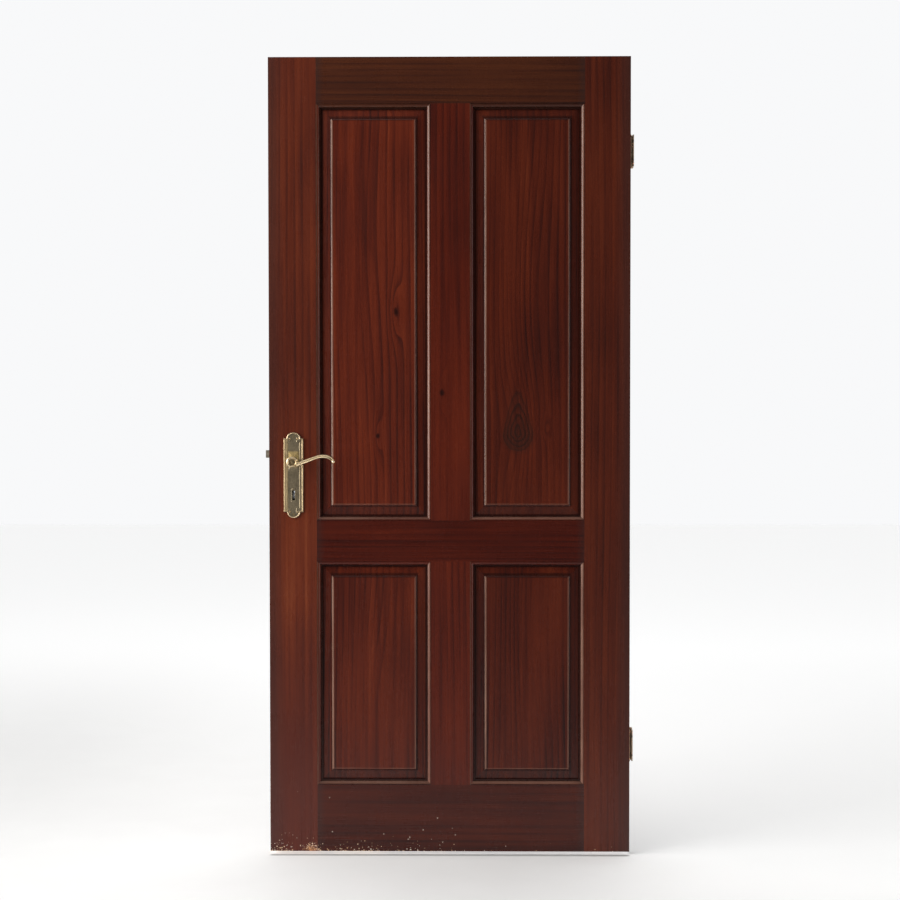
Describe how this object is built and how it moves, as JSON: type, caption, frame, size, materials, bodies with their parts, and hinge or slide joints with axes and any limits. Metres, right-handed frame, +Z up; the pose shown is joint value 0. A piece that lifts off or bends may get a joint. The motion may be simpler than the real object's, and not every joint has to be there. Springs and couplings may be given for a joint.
{
  "type": "interior door",
  "caption": "Stained wooden interior door leaf with four raised panels, butt hinges, mortise lock and scroll lever handles on long plates.",
  "frame": {"origin": "on the centre line of the leaf's width, at mid thickness, at the level of the leaf's bottom edge", "axes": "+X from the lock side to the hinge side, +Y from the front face to the side that the leaf opens to, +Z up"},
  "size_m": [0.9484, 0.1384, 2.04],
  "materials": {
    "stained_wood": "red-brown mahogany stain under satin varnish, worn pale along the bottom edge",
    "beech": "plain turned dowel",
    "antique_brass": "antiqued, dark in the hollows and bright on the edges",
    "hinge_brass": "satin brass",
    "lock_brass": "dull brass",
    "dark_steel": "dark oiled",
    "steel": "zinc plated",
    "nylon": "natural"
  },
  "bodies": {
    "frame_leaves": {"hinge_frame_leaf_upper": "hinge_brass", "hinge_frame_leaf_lower": "hinge_brass", "hinge_pin_upper": "hinge_brass", "hinge_pin_lower": "hinge_brass", "hinge_washers_upper": "dark_steel", "hinge_washers_lower": "dark_steel"},
    "door_leaf": {"lock_stile": "stained_wood", "hinge_stile": "stained_wood", "top_rail": "stained_wood", "mid_rail": "stained_wood", "bottom_rail": "stained_wood", "upper_mullion": "stained_wood", "lower_mullion": "stained_wood", "panel_upper_left": "stained_wood", "panel_upper_right": "stained_wood", "panel_lower_left": "stained_wood", "panel_lower_right": "stained_wood", "rail_dowels": "beech", "mullion_dowels": "beech", "hinge_door_leaf_upper": "hinge_brass", "hinge_door_leaf_lower": "hinge_brass", "hinge_screws_upper": "hinge_brass", "hinge_screws_lower": "hinge_brass", "fore_end": "lock_brass", "fore_end_screws": "lock_brass", "lock_case": "steel", "lock_cover": "steel", "lock_cover_screws": "steel", "latch_spring": "steel", "follower_spring": "steel", "tumbler_spring": "steel", "backplate_front": "antique_brass", "backplate_back": "antique_brass", "plate_screws_front": "antique_brass", "plate_screws_back": "antique_brass", "lever_bush_front": "nylon", "lever_bush_back": "nylon"},
    "handle": {"lever_front": "antique_brass", "lever_back": "antique_brass", "spindle": "steel", "follower": "steel", "lever_circlip_front": "steel", "lever_circlip_back": "steel", "grub_screws": "steel"},
    "latch": {"latch_bolt": "lock_brass"},
    "bolt": {"dead_bolt": "steel"},
    "tumbler": {"tumbler": "steel"}
  },
  "joints": [
    {"name": "door_swing", "type": "hinge", "parent": "frame_leaves", "child": "door_leaf", "pos_m": [0.4677, 0.0268, 1], "axis": [0, 0, -1], "range_deg": [0, 180]},
    {"name": "handle_turn", "type": "hinge", "parent": "door_leaf", "child": "handle", "pos_m": [-0.4, 0, 1.007], "axis": [0, 1, 0], "range_deg": [0, 40], "stiffness_Nm_per_rad": 2, "springref_deg": -20.05, "deforming": ["follower_spring"]},
    {"name": "latch_slide", "type": "slide", "parent": "door_leaf", "child": "latch", "axis": [1, 0, 0], "range_m": [0, 0.0112], "deforming": ["latch_spring"]},
    {"name": "deadbolt_slide", "type": "slide", "parent": "door_leaf", "child": "bolt", "axis": [-1, 0, 0], "range_m": [0, 0.014]},
    {"name": "tumbler_lift", "type": "hinge", "parent": "door_leaf", "child": "tumbler", "pos_m": [-0.3845, 0.0016, 0.968], "axis": [0, 1, 0], "range_deg": [0, 5], "stiffness_Nm_per_rad": 0.05, "springref_deg": -17.19, "deforming": ["tumbler_spring"]}
  ],
  "couplings": [
    {"joint": "latch_slide", "follows": "handle_turn", "m_per_rad": 0.016035}
  ]
}
